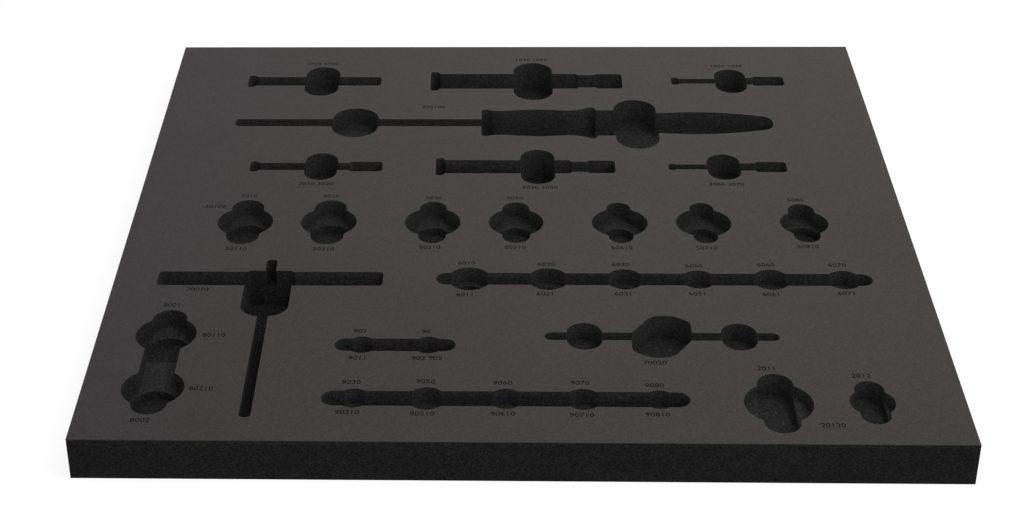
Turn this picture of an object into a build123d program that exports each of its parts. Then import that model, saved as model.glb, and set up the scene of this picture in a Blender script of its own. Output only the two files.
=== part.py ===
from build123d import *
import math
import os
from dataclasses import dataclass

# A foam insert for a tool drawer. Sizes are in millimetres.
# Pockets are laid out from the sheet's back left corner: x runs to the right and y towards the front.
# While the pockets are made, z = 0 is the sheet's top, and their depths run down from it.
# The finished sheet stands on z = 0, centred on the origin.

# The sheet: its width, depth and thickness follow from the pockets and these margins
facing_thickness = 0.6
floor_under_deepest = 1.5
right_margin = 36.0
front_margin = 10.9

# Milling
cutter_radius = 3.0
edge_share = 0.46  # share of an edge that one rounded corner may take
full_blend = 400.0  # a corner radius that its edges always cut down, for one long curve
overcut = 2.0  # how far the cutters start above the sheet
true_arc_radius = 13.0  # arcs from this radius up stay arcs, and smaller ones become short flats
flat_error = 0.15  # how far a flat may leave its arc

# Depths below the top
rod_axis_depth = 4.5  # a rod lies with its axis this far down
deep_recess_depth = 25.5
drift_recess_depth = 19.3
handle_depth = 24.0
hammer_recess_depth = 20.2
rod_recess_depth = 14.2
disc_depth = 12.0
bore_step = 6.3  # from a disc's floor down to its bore's floor
twin_disc_depth = 13.0
twin_bore_step = 5.8
block_depth = 18.2
ring_depth = 8.0
large_ring_slot_depth = 16.0
small_ring_slot_depth = 14.0
yoke_depth = 28.5  # nearly through the sheet

# The rows, each placed from the one behind it
back_margin = 66.1
hammer_pitch = 74.5
third_row_pitch = 73.0
disc_row_pitch = 84.7
long_channel_pitch = 78.4
short_channel_pitch = 83.5
front_channel_pitch = 61.4
first_row_y = back_margin
hammer_y = first_row_y + hammer_pitch
third_row_y = hammer_y + third_row_pitch
disc_row_y = third_row_y + disc_row_pitch
long_channel_y = disc_row_y + long_channel_pitch
short_channel_y = long_channel_y + short_channel_pitch
front_channel_y = short_channel_y + front_channel_pitch

# Stepped drifts in the first and third rows
step_taper = 1.8

# Slide hammer in the second row
hammer_left = 58.9
hammer_rod_length = 196.5
hammer_rod_width = 12.1
rod_recess_at = 95.9
rod_recess_width = 36.7
rod_recess_length = 49.7
handle_length = 106.0
handle_flange_width = 45.2
handle_flange_length = 5.4
handle_shoulder_width = 41.8
handle_shoulder_at = 8.6  # these places run from the handle's left end
handle_waist_width = 40.8
handle_first_waist_at = 16.0
handle_belly_width = 47.3
handle_belly_at = 44.6
handle_second_waist_at = 74.0
handle_flare_width = 56.0
handle_flare_at = 89.6
handle_flare_foot_length = 2.3
handle_neck_width = 43.4
hammer_recess_width = 33.6
hammer_recess_length = 83.3
hammer_recess_shift = 1.8  # the recess sits this far in front of the hammer's axis
tail_shift = 0.4
tail_length = 91.4
tail_root_width = 34.2
tail_belly_width = 38.8
tail_belly_at = 30.5  # these places run from the recess to the nose
tail_taper_width = 34.6
tail_taper_at = 58.0
tail_nose_width = 20.4
tail_nose_radius = 10.0

# Disc pockets in the fourth row
disc_row_left = 63.0
pair_gap = 20.5
group_gap = 35.2

# Channels that hold a row of discs
long_channel_left = 225.3
long_channel_length = 302.7
long_channel_width = 15.5
short_channel_left = 160.0
short_channel_length = 80.6
short_channel_width = 14.8
front_channel_left = 155.6
front_channel_length = 235.0
front_channel_width = 16.4

# T handle with its screw, in line with the long channel
bar_from_channel = 0.6
bar_y = long_channel_y + bar_from_channel
bar_left = 30.3
bar_length = 158.1
bar_width = 18.0
screw_along_bar = 78.4
screw_x = bar_left + screw_along_bar
screw_width = 7.6
screw_behind_bar = 25.4
screw_back = bar_y - screw_behind_bar
screw_length = 191.4
yoke_behind_bar = 10.6
yoke_back = bar_y - yoke_behind_bar
yoke_width = 33.0
yoke_length = 59.0
yoke_nose_radius = 13.5

# Two discs joined by one finger slot
twin_x = 46.2
twin_from_bar = 41.3
twin_back = bar_y + twin_from_bar
twin_slot_width = 23.7
twin_slot_length = 122.4
twin_disc_width = 41.1
twin_bore_width = 29.0
twin_first_at = 30.1
twin_pitch = 62.6

# Cross rod with its block, a little behind the short channel's line
cross_x = 377.4
cross_behind_channel = 11.3
cross_y = short_channel_y - cross_behind_channel
cross_rod_length = 155.9
cross_rod_width = 9.2
cross_recess_pitch = 102.6
cross_recess_width = 23.7
cross_recess_length = 32.4
cross_recess_depth = 13.8
# Half of the block's outline, from its centre: right, front, corner radius. The other half is this turned round
cross_block_half = [
    (5.5, 25.3, 12.0),
    (-9.0, 25.3, 14.0),
    (-20.3, 17.5, 5.0),
    (-20.3, -3.5, 8.0),
]

# Two rings at the front right, beside the front channel
ring_pitch = 59.0
large_ring_x = 445.9
small_ring_x = large_ring_x + ring_pitch
ring_row_from_channel = 3.0
ring_row_y = front_channel_y + ring_row_from_channel
small_ring_back = 1.3  # the small ring sits this far behind the large one
large_ring_width = 43.9
large_ring_slot_width = 23.2
large_ring_slot_length = 65.0
small_ring_width = 29.0
small_ring_slot_width = 19.1
small_ring_slot_length = 47.1


@dataclass
class Recess:
    at: float  # from the left end of the tool
    width: float
    length: float
    depth: float


@dataclass
class Drift:
    left: float
    sections: list  # (length, width) of each turned section, from the left
    recess: Recess


@dataclass
class Disc:
    bore: float
    width: float
    gap: float = 0.0  # free foam to the disc on its left
    slot_width: float = 0.0
    slot_length: float = 0.0


first_row = [
    Drift(61.4, [(6.1, 21.0), (104.4, 15.7)], Recess(61.6, 28.1, 53.3, drift_recess_depth)),
    Drift(212.9, [(6.8, 34.3), (114.6, 27.3), (15.0, 22.9), (21.7, 26.6)],
          Recess(84.6, 32.1, 68.7, deep_recess_depth)),
    Drift(411.4, [(5.7, 12.4), (42.9, 8.6), (18.2, 12.1), (25.5, 16.4)],
          Recess(48.6, 25.6, 43.3, drift_recess_depth)),
]

third_row = [
    Drift(78.0, [(6.4, 16.1), (70.6, 11.4), (25.0, 15.3)], Recess(54.9, 25.1, 42.9, drift_recess_depth)),
    Drift(220.9, [(6.4, 27.4), (97.0, 21.0), (12.9, 16.0), (20.9, 19.7)],
          Recess(78.1, 26.1, 54.3, deep_recess_depth)),
    Drift(398.6, [(5.1, 9.7), (37.0, 7.7), (24.3, 11.4), (23.3, 16.0)],
          Recess(42.1, 25.1, 40.4, drift_recess_depth)),
]

disc_row = [
    Disc(30.0, 40.9, 0.0, 24.0, 64.2),
    Disc(30.0, 40.9, pair_gap, 24.0, 64.2),
    Disc(24.0, 40.8, group_gap, 20.0, 60.2),
    Disc(24.0, 39.9, pair_gap, 20.0, 59.0),
    Disc(22.0, 40.6, group_gap, 17.8, 58.5),
    Disc(22.0, 40.1, pair_gap, 17.6, 58.5),
    Disc(26.0, 34.7, group_gap, 19.2, 55.2),
]

# In a channel the first gap is from the channel's left end to the disc
long_channel_discs = [
    Disc(20.0, 30.0, 8.4),
    Disc(17.0, 28.5, 25.7),
    Disc(17.0, 26.4, 25.6),
    Disc(17.0, 23.9, 25.9),
    Disc(15.0, 26.3, 25.2),
    Disc(15.0, 24.2, 24.8),
]
short_channel_discs = [Disc(8.0, 19.8, 8.2), Disc(9.0, 20.0, 24.4)]
front_channel_discs = [
    Disc(10.0, 21.1, 10.2),
    Disc(12.0, 25.0, 23.6),
    Disc(12.0, 22.4, 27.0),
    Disc(10.0, 23.3, 26.3),
    Disc(10.0, 20.6, 26.5),
]


def allowed_radii(points):
    """Each corner's radius, held to what its edges leave room for. Foam that juts in keeps a sharp corner."""
    radii = []
    for index, (x, y, wanted) in enumerate(points):
        before = points[index - 1]
        after = points[(index + 1) % len(points)]
        into = (x - before[0], y - before[1])
        out = (after[0] - x, after[1] - y)
        turn = math.atan2(into[0] * out[1] - into[1] * out[0], into[0] * out[0] + into[1] * out[1])
        room = edge_share * min(math.hypot(*into), math.hypot(*out)) / math.tan(abs(turn) / 2)
        sharp = turn < 0 and wanted <= cutter_radius
        radii.append(0.0 if sharp else min(wanted, room))
    return radii


def rounded_outline(points):
    """A face through (x, y, corner radius) points."""
    corners = [(x, -y) for x, y, wanted in points]
    return make_face(FilletPolyline(*corners, radius=allowed_radii(points), close=True))


def turned_outline(stations, axis_y):
    """The plan of a turned tool from (x, half width, corner radius) stations along its back edge."""
    back = [(x, axis_y - half, radius) for x, half, radius in stations]
    front = [(x, axis_y + half, radius) for x, half, radius in reversed(stations)]
    return rounded_outline(back + front)


def disc_outline(x, y, width):
    return Pos(x, -y) * Circle(width / 2)


def slot_outline(x, y, width, length, turn=90):
    """A slot with round ends, centred on x and y. It runs from back to front unless turned."""
    return Pos(x, -y) * SlotOverall(length, width, rotation=turn)


def box_outline(left, right, back, front, radius=cutter_radius):
    corners = [(left, back), (right, back), (right, front), (left, front)]
    return rounded_outline([(x, y, radius) for x, y in corners])


def milled_edges(edge):
    """An edge as it is milled. Short flats instead of small arcs keep the sheet's facets few."""
    if edge.geom_type == GeomType.LINE or edge.radius >= true_arc_radius:
        return [edge]
    widest_turn = 2 * math.acos(1 - flat_error / edge.radius)
    count = math.ceil(edge.length / edge.radius / widest_turn)
    points = [edge @ (index / count) for index in range(count + 1)]
    return [Line(start, end) for start, end in zip(points, points[1:])]


def milled(outline, depth):
    """The space that a cutter clears under an outline."""
    edges = []
    for edge in outline.face().outer_wire().order_edges():
        edges += milled_edges(edge)
    return extrude(Pos(0, 0, overcut) * make_face(edges), amount=-(depth + overcut))


def drift_pockets(drift, axis_y):
    stations = []
    x = drift.left
    for index, (length, width) in enumerate(drift.sections):
        start = x if index == 0 else x + step_taper / 2
        x += length
        end = x if index == len(drift.sections) - 1 else x - step_taper / 2
        stations += [(start, width / 2, cutter_radius), (end, width / 2, cutter_radius)]
    widest = max(width for length, width in drift.sections)
    recess = drift.recess
    finger = slot_outline(drift.left + recess.at, axis_y, recess.width, recess.length)
    return [milled(turned_outline(stations, axis_y), rod_axis_depth + widest / 2), milled(finger, recess.depth)]


def hammer_pockets():
    handle_left = hammer_left + hammer_rod_length
    recess_left = handle_left + handle_length
    recess_x = recess_left + hammer_recess_width / 2
    recess_right = recess_left + hammer_recess_width

    rod = box_outline(hammer_left, handle_left + handle_flange_length,
                      hammer_y - hammer_rod_width / 2, hammer_y + hammer_rod_width / 2)
    finger = slot_outline(hammer_left + rod_recess_at, hammer_y, rod_recess_width, rod_recess_length)

    handle = turned_outline([
        (handle_left, handle_flange_width / 2, cutter_radius),
        (handle_left + handle_flange_length, handle_flange_width / 2, cutter_radius),
        (handle_left + handle_shoulder_at, handle_shoulder_width / 2, full_blend),
        (handle_left + handle_first_waist_at, handle_waist_width / 2, full_blend),
        (handle_left + handle_belly_at, handle_belly_width / 2, full_blend),
        (handle_left + handle_second_waist_at, handle_waist_width / 2, full_blend),
        (handle_left + handle_flare_at, handle_flare_width / 2, cutter_radius),
        (handle_left + handle_flare_at + handle_flare_foot_length, handle_neck_width / 2, cutter_radius / 2),
        (recess_left, handle_neck_width / 2, 0.0),
    ], hammer_y)
    tail = turned_outline([
        (recess_x, tail_root_width / 2, 0.0),
        (recess_right, tail_root_width / 2, full_blend),
        (recess_right + tail_belly_at, tail_belly_width / 2, full_blend),
        (recess_right + tail_taper_at, tail_taper_width / 2, full_blend),
        (recess_right + tail_length, tail_nose_width / 2, tail_nose_radius),
    ], hammer_y + tail_shift)
    recess = slot_outline(recess_x, hammer_y + hammer_recess_shift, hammer_recess_width, hammer_recess_length)

    return [
        milled(rod, rod_axis_depth + hammer_rod_width / 2),
        milled(finger, rod_recess_depth),
        milled(handle, handle_depth),
        milled(recess + tail, hammer_recess_depth),
    ]


def disc_row_pockets():
    pockets = []
    left = disc_row_left
    for disc in disc_row:
        left += disc.gap
        x = left + disc.width / 2
        fingers = slot_outline(x, disc_row_y, disc.slot_width, disc.slot_length)
        pockets.append(milled(disc_outline(x, disc_row_y, disc.width) + fingers, disc_depth))
        pockets.append(milled(disc_outline(x, disc_row_y, disc.bore), disc_depth + bore_step))
        left += disc.width
    return pockets


def channel_pockets(left, axis_y, length, width, discs):
    plan = slot_outline(left + length / 2, axis_y, width, length, turn=0)
    bores = []
    edge = left
    for disc in discs:
        x = edge + disc.gap + disc.width / 2
        plan += disc_outline(x, axis_y, disc.width)
        bores.append(milled(disc_outline(x, axis_y, disc.bore), disc_depth + bore_step))
        edge = x + disc.width / 2
    return [milled(plan, disc_depth)] + bores


def t_handle_pockets():
    bar = box_outline(bar_left, bar_left + bar_length, bar_y - bar_width / 2, bar_y + bar_width / 2)
    screw = box_outline(screw_x - screw_width / 2, screw_x + screw_width / 2,
                        screw_back, screw_back + screw_length)
    half = yoke_width / 2
    yoke = rounded_outline([
        (screw_x - half, yoke_back, cutter_radius),
        (screw_x + half, yoke_back, cutter_radius),
        (screw_x + half, yoke_back + yoke_length, yoke_nose_radius),
        (screw_x - half, yoke_back + yoke_length, yoke_nose_radius),
    ])
    return [milled(bar + screw, rod_axis_depth + bar_width / 2), milled(yoke, yoke_depth)]


def twin_disc_pockets():
    slot = slot_outline(twin_x, twin_back + twin_slot_length / 2, twin_slot_width, twin_slot_length)
    plan = slot
    bores = []
    for index in range(2):
        y = twin_back + twin_first_at + index * twin_pitch
        plan += disc_outline(twin_x, y, twin_disc_width)
        half = twin_slot_width / 2
        seat = box_outline(twin_x - half, twin_x + half, y, y + twin_bore_width / 2, radius=0.0)
        bores.append(milled(disc_outline(twin_x, y, twin_bore_width) + seat, twin_disc_depth + twin_bore_step))
    return [milled(plan, twin_disc_depth)] + bores


def cross_rod_pockets():
    rod = slot_outline(cross_x, cross_y, cross_rod_width, cross_rod_length, turn=0)
    fingers = [
        slot_outline(cross_x + side * cross_recess_pitch / 2, cross_y, cross_recess_width, cross_recess_length)
        for side in (-1, 1)
    ]
    whole = cross_block_half + [(-x, -y, radius) for x, y, radius in cross_block_half]
    block = rounded_outline([(cross_x + x, cross_y + y, radius) for x, y, radius in whole])
    pockets = [milled(rod, rod_axis_depth + cross_rod_width / 2), milled(block, block_depth)]
    return pockets + [milled(finger, cross_recess_depth) for finger in fingers]


def ring_pockets(x, y, ring_width, slot_width, slot_length, slot_depth):
    ring = disc_outline(x, y, ring_width)
    slot = slot_outline(x, y, slot_width, slot_length)
    return [milled(ring, ring_depth), milled(slot, slot_depth)]


def all_pockets():
    pockets = []
    for drift in first_row:
        pockets += drift_pockets(drift, first_row_y)
    for drift in third_row:
        pockets += drift_pockets(drift, third_row_y)
    pockets += hammer_pockets()
    pockets += disc_row_pockets()
    pockets += channel_pockets(long_channel_left, long_channel_y, long_channel_length, long_channel_width,
                               long_channel_discs)
    pockets += channel_pockets(short_channel_left, short_channel_y, short_channel_length, short_channel_width,
                               short_channel_discs)
    pockets += channel_pockets(front_channel_left, front_channel_y, front_channel_length, front_channel_width,
                               front_channel_discs)
    pockets += t_handle_pockets()
    pockets += twin_disc_pockets()
    pockets += cross_rod_pockets()
    pockets += ring_pockets(large_ring_x, ring_row_y, large_ring_width, large_ring_slot_width,
                            large_ring_slot_length, large_ring_slot_depth)
    pockets += ring_pockets(small_ring_x, ring_row_y - small_ring_back, small_ring_width, small_ring_slot_width,
                            small_ring_slot_length, small_ring_slot_depth)
    return pockets


pockets = all_pockets()
reach = Compound(children=list(pockets)).bounding_box()
sheet_width = reach.max.X + right_margin
sheet_depth = -reach.min.Y + front_margin
sheet_thickness = -reach.min.Z + floor_under_deepest

sheet_plan = Pos(sheet_width / 2, -sheet_depth / 2, -sheet_thickness) * Rectangle(sheet_width, sheet_depth)
core = extrude(sheet_plan, amount=sheet_thickness - facing_thickness) - pockets
facing = extrude(core.faces().sort_by(Axis.Z)[-1], amount=facing_thickness, dir=(0, 0, 1))

place = Pos(-sheet_width / 2, sheet_depth / 2, sheet_thickness)
foam_core = place * core
top_facing = place * facing

os.makedirs("parts", exist_ok=True)
export_step(foam_core, "parts/foam_core.step")
export_step(top_facing, "parts/top_facing.step")
print(f"sheet {sheet_width:.1f} x {sheet_depth:.1f} x {sheet_thickness:.1f} mm, {len(pockets)} milled pockets")
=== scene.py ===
import bpy
import math
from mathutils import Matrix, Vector


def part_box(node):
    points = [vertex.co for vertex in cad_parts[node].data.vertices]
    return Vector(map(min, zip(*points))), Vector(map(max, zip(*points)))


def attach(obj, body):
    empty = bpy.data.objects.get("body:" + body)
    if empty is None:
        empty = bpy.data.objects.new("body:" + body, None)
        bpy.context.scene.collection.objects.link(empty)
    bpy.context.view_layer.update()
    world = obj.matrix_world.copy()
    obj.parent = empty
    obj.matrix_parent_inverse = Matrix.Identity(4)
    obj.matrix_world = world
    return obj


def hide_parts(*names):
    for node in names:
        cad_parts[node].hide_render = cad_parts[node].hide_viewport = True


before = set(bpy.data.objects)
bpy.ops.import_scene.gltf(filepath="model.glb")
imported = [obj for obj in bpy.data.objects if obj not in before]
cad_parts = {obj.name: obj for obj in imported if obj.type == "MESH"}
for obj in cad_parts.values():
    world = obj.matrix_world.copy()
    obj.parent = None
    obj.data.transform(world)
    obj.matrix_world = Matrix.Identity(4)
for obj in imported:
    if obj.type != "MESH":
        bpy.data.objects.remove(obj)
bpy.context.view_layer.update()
print("the frame is loaded")

mm = 0.001
sheetLow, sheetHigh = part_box("foam_core")
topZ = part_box("top_facing")[1].z
backLeft = Vector((sheetLow.x, sheetHigh.y, topZ))


# a place in metres, from millimetres right, in front of and below the sheet's back left corner
def onSheet(right, front, down=0.0):
    return backLeft + Vector((right, -front, -down)) * mm


# camera, from where the sheet's corners lie in the picture
camera = {
    "place": (-0.0160, -1.2941, 0.7742),
    "turn": (58.643, 0.947, 1.892),  # degrees
    "lens": 71.22,
    "shiftRight": 0.0901,
    "shiftUp": 0.0004,
}

bpy.ops.object.camera_add(location=camera["place"], rotation=[math.radians(angle) for angle in camera["turn"]])
cameraObject = bpy.context.object
cameraObject.data.lens = camera["lens"]
cameraObject.data.shift_x = camera["shiftRight"]
cameraObject.data.shift_y = camera["shiftUp"]
bpy.context.scene.camera = cameraObject
bpy.context.scene.view_settings.view_transform = "Standard"
print("the camera is in place")


# shader helpers: an input is named by its label, or as atN by its number
def addNode(tree, kind, settings=None, **inputs):
    node = tree.nodes.new(kind)
    for name, value in (settings or {}).items():
        setattr(node, name, value)
    for name, value in inputs.items():
        socket = node.inputs[int(name[2:])] if name.startswith("at") else node.inputs[name.replace("_", " ")]
        if isinstance(value, bpy.types.NodeSocket):
            tree.links.new(value, socket)
        else:
            socket.default_value = value
    return node


def calculate(tree, operation, first, second=0.0, third=0.0):
    node = addNode(tree, "ShaderNodeMath", {"operation": operation}, at0=first, at1=second, at2=third)
    return node.outputs[0]


def rescale(tree, value, low, high, newLow, newHigh):
    node = addNode(tree, "ShaderNodeMapRange", None, Value=value, From_Min=low, From_Max=high,
                   To_Min=newLow, To_Max=newHigh)
    return node.outputs[0]


def mixColours(tree, share, first, second):
    node = addNode(tree, "ShaderNodeMix", {"data_type": "RGBA"}, at0=share, at6=first, at7=second)
    return node.outputs[2]


def scaleColour(tree, colour, factor):
    node = addNode(tree, "ShaderNodeVectorMath", {"operation": "SCALE"}, at0=colour, Scale=factor)
    return node.outputs[0]


def newGroup(name, inputs, outputs):
    tree = bpy.data.node_groups.new(name, "ShaderNodeTree")
    for label, kind in inputs:
        tree.interface.new_socket(name=label, in_out="INPUT", socket_type=kind)
    for label, kind in outputs:
        tree.interface.new_socket(name=label, in_out="OUTPUT", socket_type=kind)
    return tree, tree.nodes.new("NodeGroupInput").outputs, tree.nodes.new("NodeGroupOutput").inputs


def useGroup(tree, group, **inputs):
    return addNode(tree, "ShaderNodeGroup", {"node_tree": group}, **inputs).outputs


def newMaterial(name):
    material = bpy.data.materials.new(name)
    material.use_nodes = True
    tree = material.node_tree
    return material, tree, tree.nodes["Principled BSDF"].inputs


# colour, relief and gloss on a material's own shader
def setSurface(tree, shader, settings, colour, relief):
    tree.links.new(colour, shader["Base Color"])
    bump = addNode(tree, "ShaderNodeBump", None, Height=relief, Strength=settings["bumpStrength"],
                   Distance=settings["bumpDepth"])
    tree.links.new(bump.outputs[0], shader["Normal"])
    shader["Roughness"].default_value = settings["roughness"]
    shader["Specular IOR Level"].default_value = settings["specular"]


# the place on an object in millimetres, for the patterns
def millimetres(tree):
    place = addNode(tree, "ShaderNodeTexCoord").outputs["Object"]
    return addNode(tree, "ShaderNodeMapping", None, Vector=place, Scale=(1 / mm, 1 / mm, 1 / mm)).outputs[0]


def alongAxes(tree, place):
    return addNode(tree, "ShaderNodeSeparateXYZ", None, Vector=place).outputs


# a value where the mask is 1, and 1 where it is 0
def onlyWhere(tree, mask, value):
    return rescale(tree, mask, 0, 1, 1.0, value)


edgeSlack = 0.05  # millimetres inside the sheet's faces where its masks change
flatEnough = 0.5  # upward share of a normal above which a face counts as a floor
noiseSpan = (0.3, 0.7)  # most values of a noise texture lie within these


# 1 on the sheet's four outer sides, and 0 inside it
def outerSides(tree, place):
    parts = alongAxes(tree, place)
    across = calculate(tree, "ABSOLUTE", parts[0])
    along = calculate(tree, "ABSOLUTE", parts[1])
    beside = calculate(tree, "GREATER_THAN", across, sheetHigh.x / mm - edgeSlack)
    ahead = calculate(tree, "GREATER_THAN", along, sheetHigh.y / mm - edgeSlack)
    return calculate(tree, "MAXIMUM", beside, ahead)


# 1 inside a box on the sheet's plan and 0 outside it: left, right, back and front as for onSheet
def insidePlan(tree, place, box):
    left, right, back, front = box
    parts = alongAxes(tree, place)
    beside = calculate(tree, "COMPARE", parts[0], backLeft.x / mm + (left + right) / 2, (right - left) / 2)
    ahead = calculate(tree, "COMPARE", parts[1], backLeft.y / mm - (back + front) / 2, (front - back) / 2)
    return calculate(tree, "MULTIPLY", beside, ahead)


# 1 on what faces up, such as a pocket's floor, and 0 on walls
def floors(tree):
    facing = addNode(tree, "ShaderNodeNewGeometry").outputs["True Normal"]
    return calculate(tree, "GREATER_THAN", alongAxes(tree, facing)[2], flatEnough)


# 1 on the skin's cut edges, and 0 on its top
def cutEdges(tree, place):
    return calculate(tree, "LESS_THAN", alongAxes(tree, place)[2], topZ / mm - edgeSlack)


# closed cells of cut foam: most are dull, and a few get a painted glint, a lighter colour where they would
# catch the light
foamCells = {
    "cellShades": (0.48, 1.52),
    "cloudsPerMm": 0.11,
    "cloudDetail": 4.0,
    "cloudRoughness": 0.62,
    "cloudShades": (0.94, 1.06),
}

cellGroup, given, asked = newGroup(
    "foamCells",
    [("Vector", "NodeSocketVector"), ("Cells Per Millimetre", "NodeSocketFloat"),
     ("Spark Share", "NodeSocketFloat")],
    [("Shade", "NodeSocketFloat"), ("Sparks", "NodeSocketFloat"), ("Height", "NodeSocketFloat")],
)
cells = addNode(cellGroup, "ShaderNodeTexVoronoi", None, Vector=given[0], Scale=given[1])
cellTone = addNode(cellGroup, "ShaderNodeSeparateColor", None, Color=cells.outputs["Color"]).outputs[0]
clouds = addNode(cellGroup, "ShaderNodeTexNoise", None, Vector=given[0], Scale=foamCells["cloudsPerMm"],
                 Detail=foamCells["cloudDetail"], Roughness=foamCells["cloudRoughness"])
cellShade = rescale(cellGroup, cellTone, 0, 1, *foamCells["cellShades"])
cloudShade = rescale(cellGroup, clouds.outputs[0], *noiseSpan, *foamCells["cloudShades"])
cellGroup.links.new(calculate(cellGroup, "MULTIPLY", cellShade, cloudShade), asked[0])
sparks = calculate(cellGroup, "GREATER_THAN", cellTone, calculate(cellGroup, "SUBTRACT", 1.0, given[2]))
cellGroup.links.new(sparks, asked[1])
cellGroup.links.new(cells.outputs["Distance"], asked[2])

# milling marks: fine runs left by the cutter, along the vector's X
millingMarks = {
    "stretch": (0.03, 1.0, 0.35),
    "detail": 2.0,
    "shades": (0.9, 1.1),
}

markGroup, given, asked = newGroup(
    "millingMarks",
    [("Vector", "NodeSocketVector"), ("Marks Per Millimetre", "NodeSocketFloat")],
    [("Shade", "NodeSocketFloat"), ("Height", "NodeSocketFloat")],
)
stretched = addNode(markGroup, "ShaderNodeMapping", None, Vector=given[0], Scale=millingMarks["stretch"])
marks = addNode(markGroup, "ShaderNodeTexNoise", None, Vector=stretched.outputs[0], Scale=given[1],
                Detail=millingMarks["detail"])
markGroup.links.new(rescale(markGroup, marks.outputs[0], *noiseSpan, *millingMarks["shades"]), asked[0])
markGroup.links.new(marks.outputs[0], asked[1])

# rings left on a floor by the end of a turning cutter, about the vector's zero
cutterRings = {
    "scale": 0.085,
    "wobble": 1.5,
    "detail": 2.0,
    "shades": (0.84, 1.22),
}

ringGroup, given, asked = newGroup(
    "cutterRings",
    [("Vector", "NodeSocketVector")],
    [("Shade", "NodeSocketFloat")],
)
rings = addNode(ringGroup, "ShaderNodeTexWave", {"wave_type": "RINGS", "rings_direction": "Z"}, Vector=given[0],
                Scale=cutterRings["scale"], Distortion=cutterRings["wobble"], Detail=cutterRings["detail"])
ringGroup.links.new(rescale(ringGroup, rings.outputs["Fac"], 0, 1, *cutterRings["shades"]), asked[0])

# the black foam under the skin and on every milled wall
coreFoam = {
    "colour": (0.0290, 0.0290, 0.0294, 1.0),
    # colour of the painted glints on those few cells
    "sparkColour": (0.042, 0.042, 0.043, 1.0),
    "cellsPerMm": 1.3,
    "sparkShare": 0.03,
    "marksPerMm": 0.9,
    "roughness": 0.86,
    "specular": 0.06,
    "bumpStrength": 0.6,
    "bumpDepth": 0.00018,
    # painted shade that darkens the sheet's outer sides
    "outerPaintedShade": 0.59,
    "outerSparks": 0.3,  # share of the sparks that stays on the outer sides
    # painted shade that darkens every floor against the walls
    "floorPaintedShade": 0.68,
    "shallowDown": 15.0,  # floors above this depth in millimetres count as shallow
    "deepDown": 17.0,  # and those below this one as deep
    # painted shade that darkens the deep floors further
    "deepPaintedShade": 0.9,
    "crossMilled": (34.3, 58.1, 416.0, 542.0),  # the slot whose marks run from back to front
    "crossMarksPerMm": 0.5,
    # the marks' shades there, brighter on the whole: painted light
    "crossMarksWithPaintedLight": (1.06, 1.98),
    "ringed": (361.0, 396.0, 99.0, 186.0),  # the finger recess with rings on its floor
    "slotRow": (264.0, 332.0),  # back and front of the fourth row's finger slots
    "slotFloors": [  # middle and width of each of these slots
        (83.4, 24.0), (144.8, 24.0), (220.9, 20.0), (281.8, 20.0),
        (357.2, 17.8), (418.0, 17.6), (490.6, 19.2),
    ],
    # painted light on those shallow floors
    "slotPaintedLight": 1.16,
    "dimmed": [  # plan boxes around pockets that take less light, each with its shade
        (104.0, 113.5, 350.0, 365.5, 0.64),  # the screw's slot, in two parts
        (104.0, 113.5, 426.0, 545.0, 0.64),
        (91.0, 126.0, 365.5, 426.0, 0.64),  # the yoke
        (24.0, 68.0, 416.0, 542.0, 0.78),  # the two joined discs
        (136.0, 173.6, 115.0, 166.0, 0.92),  # the recess on the hammer's rod
        (60.0, 510.0, 264.0, 332.0, 0.92),  # the row of discs
        (359.5, 396.5, 99.0, 186.0, 0.88),  # the hammer's long recess
    ],
}


# milling marks along X, but from back to front on the shallow floors of one slot, where they also carry painted
# light that brightens those floors
def markShades(tree, place, settings, mark, shallowFloors):
    turned = addNode(tree, "ShaderNodeMapping", None, Vector=place, Rotation=(0.0, 0.0, math.pi / 2))
    crossMark = useGroup(tree, markGroup, Vector=turned.outputs[0],
                         Marks_Per_Millimetre=settings["crossMarksPerMm"])
    crossMark = rescale(tree, crossMark["Shade"], *millingMarks["shades"], *settings["crossMarksWithPaintedLight"])
    share = calculate(tree, "MULTIPLY", insidePlan(tree, place, settings["crossMilled"]), shallowFloors)
    return calculate(tree, "MULTIPLY_ADD", share, calculate(tree, "SUBTRACT", crossMark, mark), mark)


# cutter rings on the floor of the hammer's long recess
def ringShades(tree, place, settings, allFloors):
    left, right, back, front = settings["ringed"]
    centre = onSheet((left + right) / 2, (back + front) / 2) / mm
    centred = addNode(tree, "ShaderNodeMapping", None, Vector=place, Location=-centre).outputs[0]
    share = calculate(tree, "MULTIPLY", insidePlan(tree, place, settings["ringed"]), allFloors)
    return onlyWhere(tree, share, useGroup(tree, ringGroup, Vector=centred)["Shade"])


# painted light: the fourth row's finger slots are a little brighter on their shallow floors
def slotShades(tree, place, settings, shallowFloors):
    share = 0.0
    for middle, width in settings["slotFloors"]:
        box = (middle - width / 2, middle + width / 2, *settings["slotRow"])
        share = calculate(tree, "ADD", share, insidePlan(tree, place, box))
    share = calculate(tree, "MULTIPLY", share, shallowFloors)
    return onlyWhere(tree, share, settings["slotPaintedLight"])


# how much each place dims or brightens the foam, as factors: milling marks and cutter rings, with painted shade
# and painted light
def placeShades(tree, place, settings, mark, sides):
    allFloors = floors(tree)
    height = alongAxes(tree, place)[2]
    shallow = calculate(tree, "GREATER_THAN", height, topZ / mm - settings["shallowDown"])
    shallowFloors = calculate(tree, "MULTIPLY", shallow, allFloors)
    deep = calculate(tree, "LESS_THAN", height, topZ / mm - settings["deepDown"])
    deepFloors = calculate(tree, "MULTIPLY", deep, allFloors)
    shades = [
        markShades(tree, place, settings, mark, shallowFloors),
        ringShades(tree, place, settings, allFloors),
        onlyWhere(tree, sides, settings["outerPaintedShade"]),
        onlyWhere(tree, allFloors, settings["floorPaintedShade"]),
        slotShades(tree, place, settings, shallowFloors),
        onlyWhere(tree, deepFloors, settings["deepPaintedShade"]),
    ]
    for *box, dimShade in settings["dimmed"]:
        shades.append(onlyWhere(tree, insidePlan(tree, place, box), dimShade))
    return shades


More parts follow.
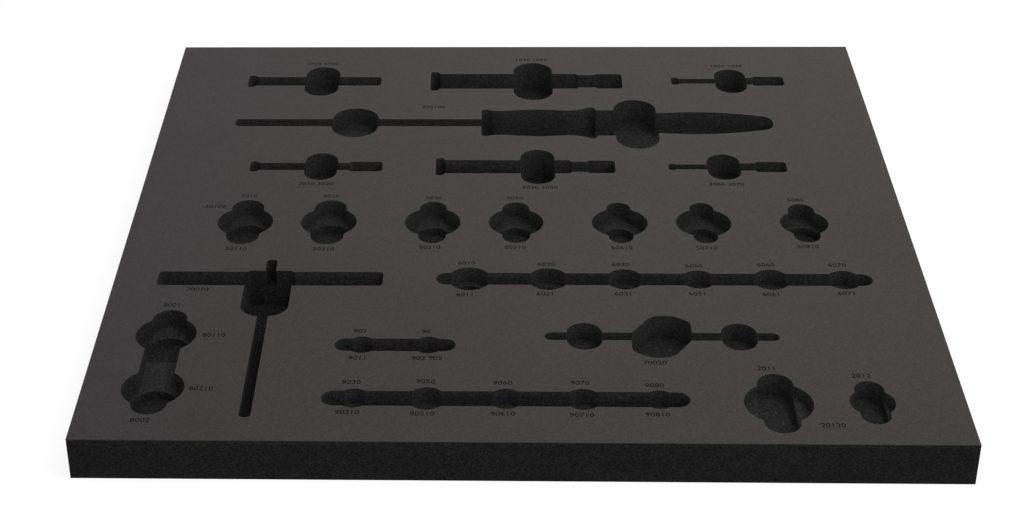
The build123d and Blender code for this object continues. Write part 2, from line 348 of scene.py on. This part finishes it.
def makeCoreFoam(name, settings):
    material, tree, shader = newMaterial(name)
    place = millimetres(tree)
    sides = outerSides(tree, place)
    cell = useGroup(tree, cellGroup, Vector=place, Cells_Per_Millimetre=settings["cellsPerMm"],
                    Spark_Share=settings["sparkShare"])
    mark = useGroup(tree, markGroup, Vector=place, Marks_Per_Millimetre=settings["marksPerMm"])
    shading = cell["Shade"]
    for shade in placeShades(tree, place, settings, mark["Shade"], sides):
        shading = calculate(tree, "MULTIPLY", shading, shade)
    base = scaleColour(tree, settings["colour"][:3], shading)
    sparks = calculate(tree, "MULTIPLY", cell["Sparks"], onlyWhere(tree, sides, settings["outerSparks"]))
    colour = mixColours(tree, sparks, base, settings["sparkColour"])
    relief = calculate(tree, "ADD", cell["Height"], mark["Height"])
    setSurface(tree, shader, settings, colour, relief)
    return material


# the dark grey-brown skin on top
facingSkin = {
    "colour": (0.0359, 0.0299, 0.0284, 1.0),
    "leftColour": (0.0333, 0.0305, 0.0303, 1.0),
    "greyWithin": (30.0, 240.0),  # millimetres from the left side, where the grey gives way
    "grainPerMm": 0.95,
    "grainDetail": 3.0,
    "grainRoughness": 0.7,
    "grainSpan": (0.25, 0.75),
    "grainShades": (0.5, 1.5),
    "cloudsPerMm": 0.02,
    "cloudDetail": 3.0,
    "cloudShades": (0.96, 1.04),
    "edgeColour": coreFoam["colour"],
    "roughness": 0.5,
    "specular": 0.08,
    "bumpStrength": 0.5,
    "bumpDepth": 0.00012,
}


def makeFacingSkin(name, settings):
    material, tree, shader = newMaterial(name)
    place = millimetres(tree)
    grain = addNode(tree, "ShaderNodeTexNoise", None, Vector=place, Scale=settings["grainPerMm"],
                    Detail=settings["grainDetail"], Roughness=settings["grainRoughness"]).outputs[0]
    clouds = addNode(tree, "ShaderNodeTexNoise", None, Vector=place, Scale=settings["cloudsPerMm"],
                     Detail=settings["cloudDetail"]).outputs[0]
    grainShade = rescale(tree, grain, *settings["grainSpan"], *settings["grainShades"])
    cloudShade = rescale(tree, clouds, *noiseSpan, *settings["cloudShades"])
    near, far = [backLeft.x / mm + distance for distance in settings["greyWithin"]]
    browner = rescale(tree, alongAxes(tree, place)[0], near, far, 0, 1)
    tinted = mixColours(tree, browner, settings["leftColour"], settings["colour"])
    top = scaleColour(tree, tinted, calculate(tree, "MULTIPLY", grainShade, cloudShade))
    colour = mixColours(tree, cutEdges(tree, place), top, settings["edgeColour"])
    setSurface(tree, shader, settings, colour, grain)
    return material


# the foam at the bottom of the numbers
engravedFoam = {**coreFoam, "colour": (0.012, 0.0118, 0.0118, 1.0), "sparkShare": 0.0}

coreMaterial = makeCoreFoam("coreFoam", coreFoam)
skinMaterial = makeFacingSkin("facingSkin", facingSkin)
engravedMaterial = makeCoreFoam("engravedFoam", engravedFoam)
print("the materials are made")

# the core stays as it is, with its foam on every slot
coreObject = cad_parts["foam_core"]
for slot in coreObject.material_slots:
    slot.material = coreMaterial

# plain numbers engraved beside the pockets: lengths are in millimetres
legends = {
    "height": 4.6,
    "sizeToHeight": 1.372,  # the font's size over the height of its digits
    "weight": 0.06,  # how far each stroke is thickened
    "depth": 0.35,
    "halfStand": 0.5,  # half the height of the solid that cuts a number
    "curveSteps": 3,
    "weldWithin": 0.001,
    "skinWeldWithin": 0.005,
    "numbers": [  # right and in front of the sheet's back left corner
        # first row
        (120.4, 33.2, "1010 1020"), (296.4, 25.6, "1030 1050"), (458.8, 38.0, "1060 1070"),
        # hammer
        (216.4, 113.2, "200100"),
        # third row
        (130.8, 241.2, "3010 3020"), (300.0, 246.4, "3030 3050"), (440.0, 240.8, "3060 3070"),
        # behind the discs
        (82.4, 260.0, "5010"), (58.8, 276.0, "50100"), (144.0, 260.0, "5020"), (220.8, 262.4, "5030"),
        (281.2, 262.4, "5050"), (488.4, 264.8, "5080"),
        # in front of the discs
        (80.8, 336.8, "50110"), (143.6, 336.8, "50210"), (219.6, 334.4, "50310"), (280.8, 334.0, "50510"),
        (356.8, 334.4, "50610"), (417.2, 334.4, "50710"), (489.2, 332.0, "50810"),
        # behind the long channel
        (246.4, 356.0, "6010"), (302.4, 357.2, "6020"), (354.8, 357.2, "6030"), (406.0, 358.8, "6050"),
        (456.4, 357.2, "6060"), (506.0, 357.2, "6070"),
        # in front of the long channel
        (246.0, 397.6, "6011"), (301.2, 396.4, "6021"), (354.8, 396.0, "6031"), (405.6, 395.6, "6051"),
        (456.0, 396.0, "6061"), (507.6, 394.4, "6071"),
        # T handle
        (60.0, 392.0, "70010"),
        # twin discs
        (45.2, 412.4, "8001"), (78.4, 449.6, "80110"), (77.6, 512.0, "80210"), (43.2, 547.2, "8002"),
        # short channel
        (176.4, 444.0, "901"), (220.4, 444.4, "90"), (176.4, 476.0, "9011"), (222.0, 476.0, "902 903"),
        # cross rod
        (370.8, 480.0, "70020"),
        # behind the front channel
        (174.0, 504.0, "9030"), (222.0, 502.8, "9050"), (271.6, 504.0, "9060"), (321.2, 503.6, "9070"),
        (368.8, 506.0, "9080"),
        # in front of the front channel
        (173.2, 537.2, "90310"), (220.8, 538.4, "90510"), (271.6, 538.0, "90610"), (321.2, 538.8, "90710"),
        (368.8, 538.0, "90810"),
        # rings
        (442.4, 486.0, "2011"), (502.0, 494.0, "2012"), (476.8, 548.4, "20130"),
    ],
}


def selectOnly(things):
    bpy.ops.object.select_all(action="DESELECT")
    for thing in things:
        thing.select_set(True)
    bpy.context.view_layer.objects.active = things[0]


# a solid of plain numbers that stands through the skin's surface
def cutNumber(right, front, words):
    middle = onSheet(right, front, legends["depth"] - legends["halfStand"])
    bpy.ops.object.select_all(action="DESELECT")
    bpy.ops.object.text_add(location=middle)
    number = bpy.context.object
    number.data.body = words
    number.data.size = legends["height"] * legends["sizeToHeight"] * mm
    number.data.extrude = legends["halfStand"] * mm
    number.data.offset = legends["weight"] * mm
    number.data.resolution_u = legends["curveSteps"]
    number.data.align_x = "CENTER"
    number.data.align_y = "CENTER"
    bpy.ops.object.convert(target="MESH")
    number = bpy.context.object
    bpy.ops.object.transform_apply(location=True, rotation=True, scale=True)
    return number


# runs a mesh operator on the whole of a thing
def editWhole(thing, operator, **settings):
    selectOnly([thing])
    bpy.ops.object.mode_set(mode="EDIT")
    bpy.ops.mesh.select_all(action="SELECT")
    operator(**settings)
    bpy.ops.object.mode_set(mode="OBJECT")


numbers = [cutNumber(*number) for number in legends["numbers"]]
selectOnly(numbers)
bpy.ops.object.join()
cutter = bpy.context.object
cutter.name = "legendCutter"
editWhole(cutter, bpy.ops.mesh.remove_doubles, threshold=legends["weldWithin"] * mm)
editWhole(cutter, bpy.ops.mesh.normals_make_consistent, inside=False)
cutter.data.materials.clear()
cutter.data.materials.append(engravedMaterial)
print("the numbers are made:", len(numbers))

# the engraved skin, from a copy of the plain one
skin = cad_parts["top_facing"].copy()
skin.data = skin.data.copy()
skin.name = "engravedSkin"
bpy.context.collection.objects.link(skin)
skin.parent = None
skin.data.materials.clear()
skin.data.materials.append(skinMaterial)
editWhole(skin, bpy.ops.mesh.remove_doubles, threshold=legends["skinWeldWithin"] * mm)
cut = skin.modifiers.new("engrave", "BOOLEAN")
cut.operation = "DIFFERENCE"
cut.solver = "EXACT"
cut.object = cutter
cut.material_mode = "TRANSFER"
bpy.ops.object.modifier_apply(modifier=cut.name)
bpy.data.objects.remove(cutter)
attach(skin, "root")
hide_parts("top_facing")
print("the skin is engraved:", len(skin.data.polygons), "faces")

# floor and light
studio = {
    "white": (1.0, 1.0, 1.0, 1.0),
    "floorSize": 8.0,
    "floorColour": (0.2, 0.2, 0.2, 1.0),
    "floorRoughness": 0.95,
    "floorGlow": 0.86,
    "ambient": 0.45,  # strength of the even light on the object, while the camera sees 1
    "lamps": [
        {"place": (1.15, -0.6, 2.1), "size": 1.7, "power": 32.0},
        {"place": (-0.2, -2.9, 1.1), "size": 2.8, "power": 14.0},
        {"place": (0.3, 1.3, 1.0), "size": 1.2, "power": 4.5},
    ],
}


# 1 for what the camera sees, also through glass or in a reflection, and 0 for light on the object
def seenDirectly(tree):
    path = addNode(tree, "ShaderNodeLightPath").outputs
    either = calculate(tree, "MAXIMUM", path["Is Camera Ray"], path["Is Glossy Ray"])
    return calculate(tree, "MAXIMUM", either, path["Is Transmission Ray"])


bpy.ops.mesh.primitive_plane_add(size=studio["floorSize"], location=(0, 0, 0))
floor = bpy.context.object
floor.name = "paleFloor"
floorMaterial, tree, shader = newMaterial("paleFloor")
shader["Base Color"].default_value = studio["floorColour"]
shader["Roughness"].default_value = studio["floorRoughness"]
shader["Specular IOR Level"].default_value = 0.0
shader["Emission Color"].default_value = studio["white"]
glow = calculate(tree, "MULTIPLY", seenDirectly(tree), studio["floorGlow"])
tree.links.new(glow, shader["Emission Strength"])
floor.data.materials.append(floorMaterial)

world = bpy.data.worlds.new("studio")
bpy.context.scene.world = world
world.use_nodes = True
tree = world.node_tree
strength = rescale(tree, seenDirectly(tree), 0, 1, studio["ambient"], 1.0)
background = tree.nodes["Background"].inputs
background["Color"].default_value = studio["white"]
tree.links.new(strength, background["Strength"])

for lamp in studio["lamps"]:
    bpy.ops.object.light_add(type="AREA", location=lamp["place"])
    light = bpy.context.object
    light.data.size = lamp["size"]
    light.data.energy = lamp["power"]
    light.rotation_euler = (-Vector(lamp["place"])).to_track_quat("-Z", "Y").to_euler()
print("the studio is lit")
